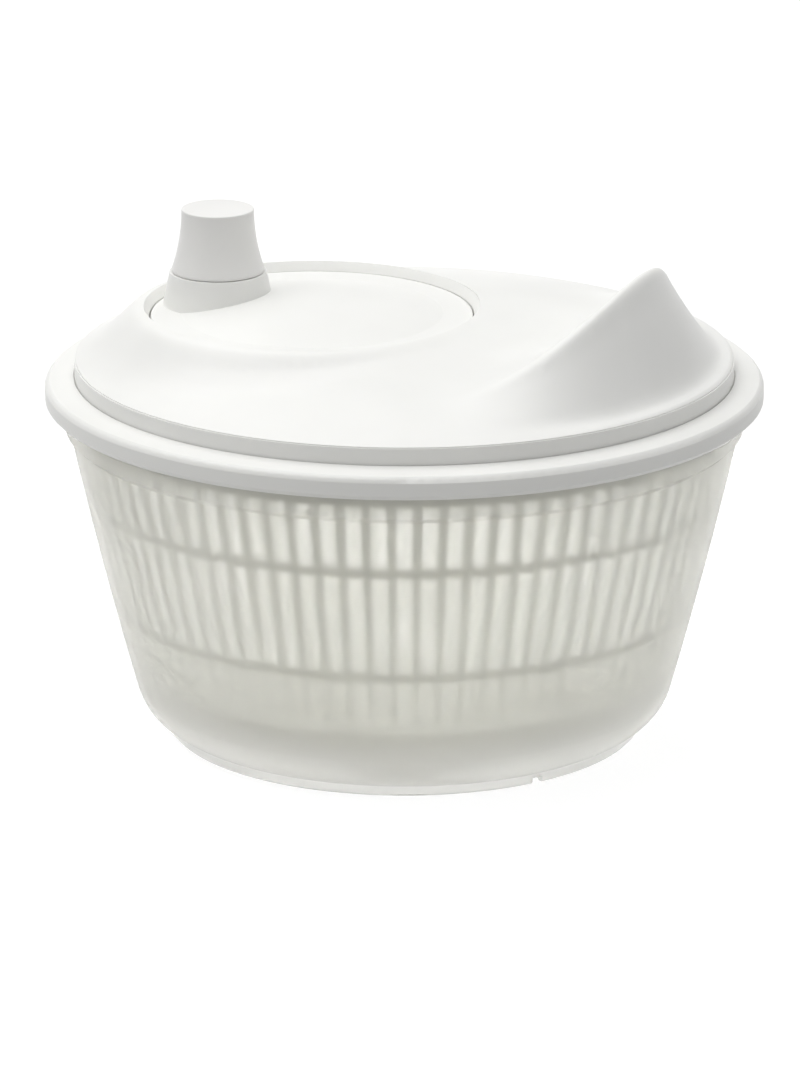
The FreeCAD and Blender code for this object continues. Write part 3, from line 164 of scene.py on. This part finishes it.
def frosted_plastic(name, colour, roughness, transmission, haze, opacity):
    """Natural polypropylene: rough transmission with haze that glows in the wall."""
    material, nodes, links, shader = new_material(name)
    coordinates = nodes.new("ShaderNodeTexCoord")
    cloud = add_noise(nodes, links, coordinates, BOWL_CLOUD_SCALE, 3.0, stretch=(1, 1, 0.5))
    grain = add_noise(nodes, links, coordinates, BOWL_GRAIN_SCALE, 2.0)
    vary_colour(nodes, links, cloud, shader, colour, 0.012)
    vary_roughness(nodes, links, cloud, shader, roughness - 0.03, roughness + 0.03)
    add_bump(nodes, links, grain, shader, 0.00002, 0.25)
    shader.inputs["IOR"].default_value = BOWL_IOR
    shader.inputs["Transmission Weight"].default_value = transmission
    shader.inputs["Alpha"].default_value = opacity
    mix_translucent(material, nodes, links, shader, haze)
    return material


def brushed_metal(name, colour, roughness):
    """Turned steel: fine streaks along Z in its colour, sheen and relief."""
    material, nodes, links, shader = new_material(name)
    coordinates = nodes.new("ShaderNodeTexCoord")
    streaks = add_noise(nodes, links, coordinates, STREAK_SCALE, 3.0, stretch=(1, 1, 0.08))
    vary_colour(nodes, links, streaks, shader, colour, 0.10)
    vary_roughness(nodes, links, streaks, shader, roughness - 0.08, roughness + 0.10)
    add_bump(nodes, links, streaks, shader, 0.00002, 0.2)
    shader.inputs["Metallic"].default_value = 1.0
    return material


def dress_nodes():
    """Gives every CAD node its material."""
    materials = {
        "bowl_frosted": frosted_plastic("frosted_bowl", FROSTED, 0.42, 1.0, 0.26, 0.58),
        "basket_white": moulded_plastic("basket_plastic", BASKET_WHITE, 0.42, glow=0.5),
        "lid_white": moulded_plastic("lid_plastic", LID_WHITE, 0.40, subsurface=0.15),
        "knob_white": moulded_plastic("knob_plastic", KNOB_WHITE, 0.42, subsurface=0.1),
        "holder_white": moulded_plastic("holder_plastic", BASKET_WHITE, 0.45),
        "gear_nylon": moulded_plastic("gear_plastic", NYLON, 0.48, spread=0.04),
        "bearing_plastic": moulded_plastic("bearing_acetal", ACETAL, 0.38),
        "screw_steel": brushed_metal("screw_metal", STEEL, 0.32),
    }
    slots = {entry["node"]: entry["material_slot"] for entry in frame["record"]["subparts"]}
    for name, node in frame["nodes"].items():
        node.data.materials.clear()
        node.data.materials.append(materials[slots[name]])


# Stage, light and camera.


def make_floor():
    """A large plain sheet under the object."""
    mesh = bpy.data.meshes.new("floor")
    corners = [
        (-FLOOR_HALF, -FLOOR_HALF, 0),
        (FLOOR_HALF, -FLOOR_HALF, 0),
        (FLOOR_HALF, FLOOR_HALF, 0),
        (-FLOOR_HALF, FLOOR_HALF, 0),
    ]
    mesh.from_pydata(corners, [], [(0, 1, 2, 3)])
    floor = bpy.data.objects.new("floor", mesh)
    bpy.context.collection.objects.link(floor)
    material, nodes, links, shader = new_material("paper_floor")
    coordinates = nodes.new("ShaderNodeTexCoord")
    fibre = add_noise(nodes, links, coordinates, FIBRE_SCALE, 3.0)
    vary_colour(nodes, links, fibre, shader, FLOOR_WHITE, 0.004)
    shader.inputs["Roughness"].default_value = FLOOR_ROUGHNESS
    shader.inputs["Emission Color"].default_value = PURE_WHITE
    light_path = nodes.new("ShaderNodeLightPath")
    glow = nodes.new("ShaderNodeMapRange")
    glow.inputs["To Min"].default_value = FLOOR_GLOW
    glow.inputs["To Max"].default_value = FLOOR_BOUNCE
    links.new(light_path.outputs["Is Diffuse Ray"], glow.inputs["Value"])
    links.new(glow.outputs["Result"], shader.inputs["Emission Strength"])
    mesh.materials.append(material)


def aim(thing, target):
    """Turns a light or the camera to look at a place."""
    direction = Vector(target) - thing.location
    thing.rotation_euler = direction.to_track_quat("-Z", "Y").to_euler()


def add_softbox(name, place, width, height, watts):
    """A rectangular soft light that the camera doesn't see."""
    light = bpy.data.lights.new(name, "AREA")
    light.shape = "RECTANGLE"
    light.size = width
    light.size_y = height
    light.energy = watts
    softbox = bpy.data.objects.new(name, light)
    softbox.location = place
    softbox.visible_camera = False
    softbox.visible_glossy = name not in NO_GLOSS
    softbox.visible_diffuse = name not in NO_DIFFUSE
    bpy.context.collection.objects.link(softbox)
    aim(softbox, LIGHT_TARGET)


def make_light():
    """The softboxes and an even white world."""
    for softbox in SOFTBOXES:
        add_softbox(*softbox)
    world = bpy.data.worlds.new("studio")
    world.use_nodes = True
    background = world.node_tree.nodes["Background"]
    background.inputs["Color"].default_value = PURE_WHITE
    background.inputs["Strength"].default_value = WORLD_STRENGTH
    bpy.context.scene.world = world


def make_camera():
    """The camera in front of the object, looking along +Y and a little down."""
    camera_data = bpy.data.cameras.new("camera")
    camera_data.sensor_width = SENSOR
    camera_data.lens = FOCAL_LENGTH
    camera = bpy.data.objects.new("camera", camera_data)
    back = Vector((0, -math.cos(CAMERA_ELEVATION), math.sin(CAMERA_ELEVATION)))
    camera.location = CAMERA_TARGET + back * CAMERA_DISTANCE
    bpy.context.collection.objects.link(camera)
    aim(camera, CAMERA_TARGET)
    bpy.context.scene.camera = camera


dress_nodes()
make_floor()
make_light()
make_camera()
bpy.context.scene.view_settings.view_transform = "Standard"
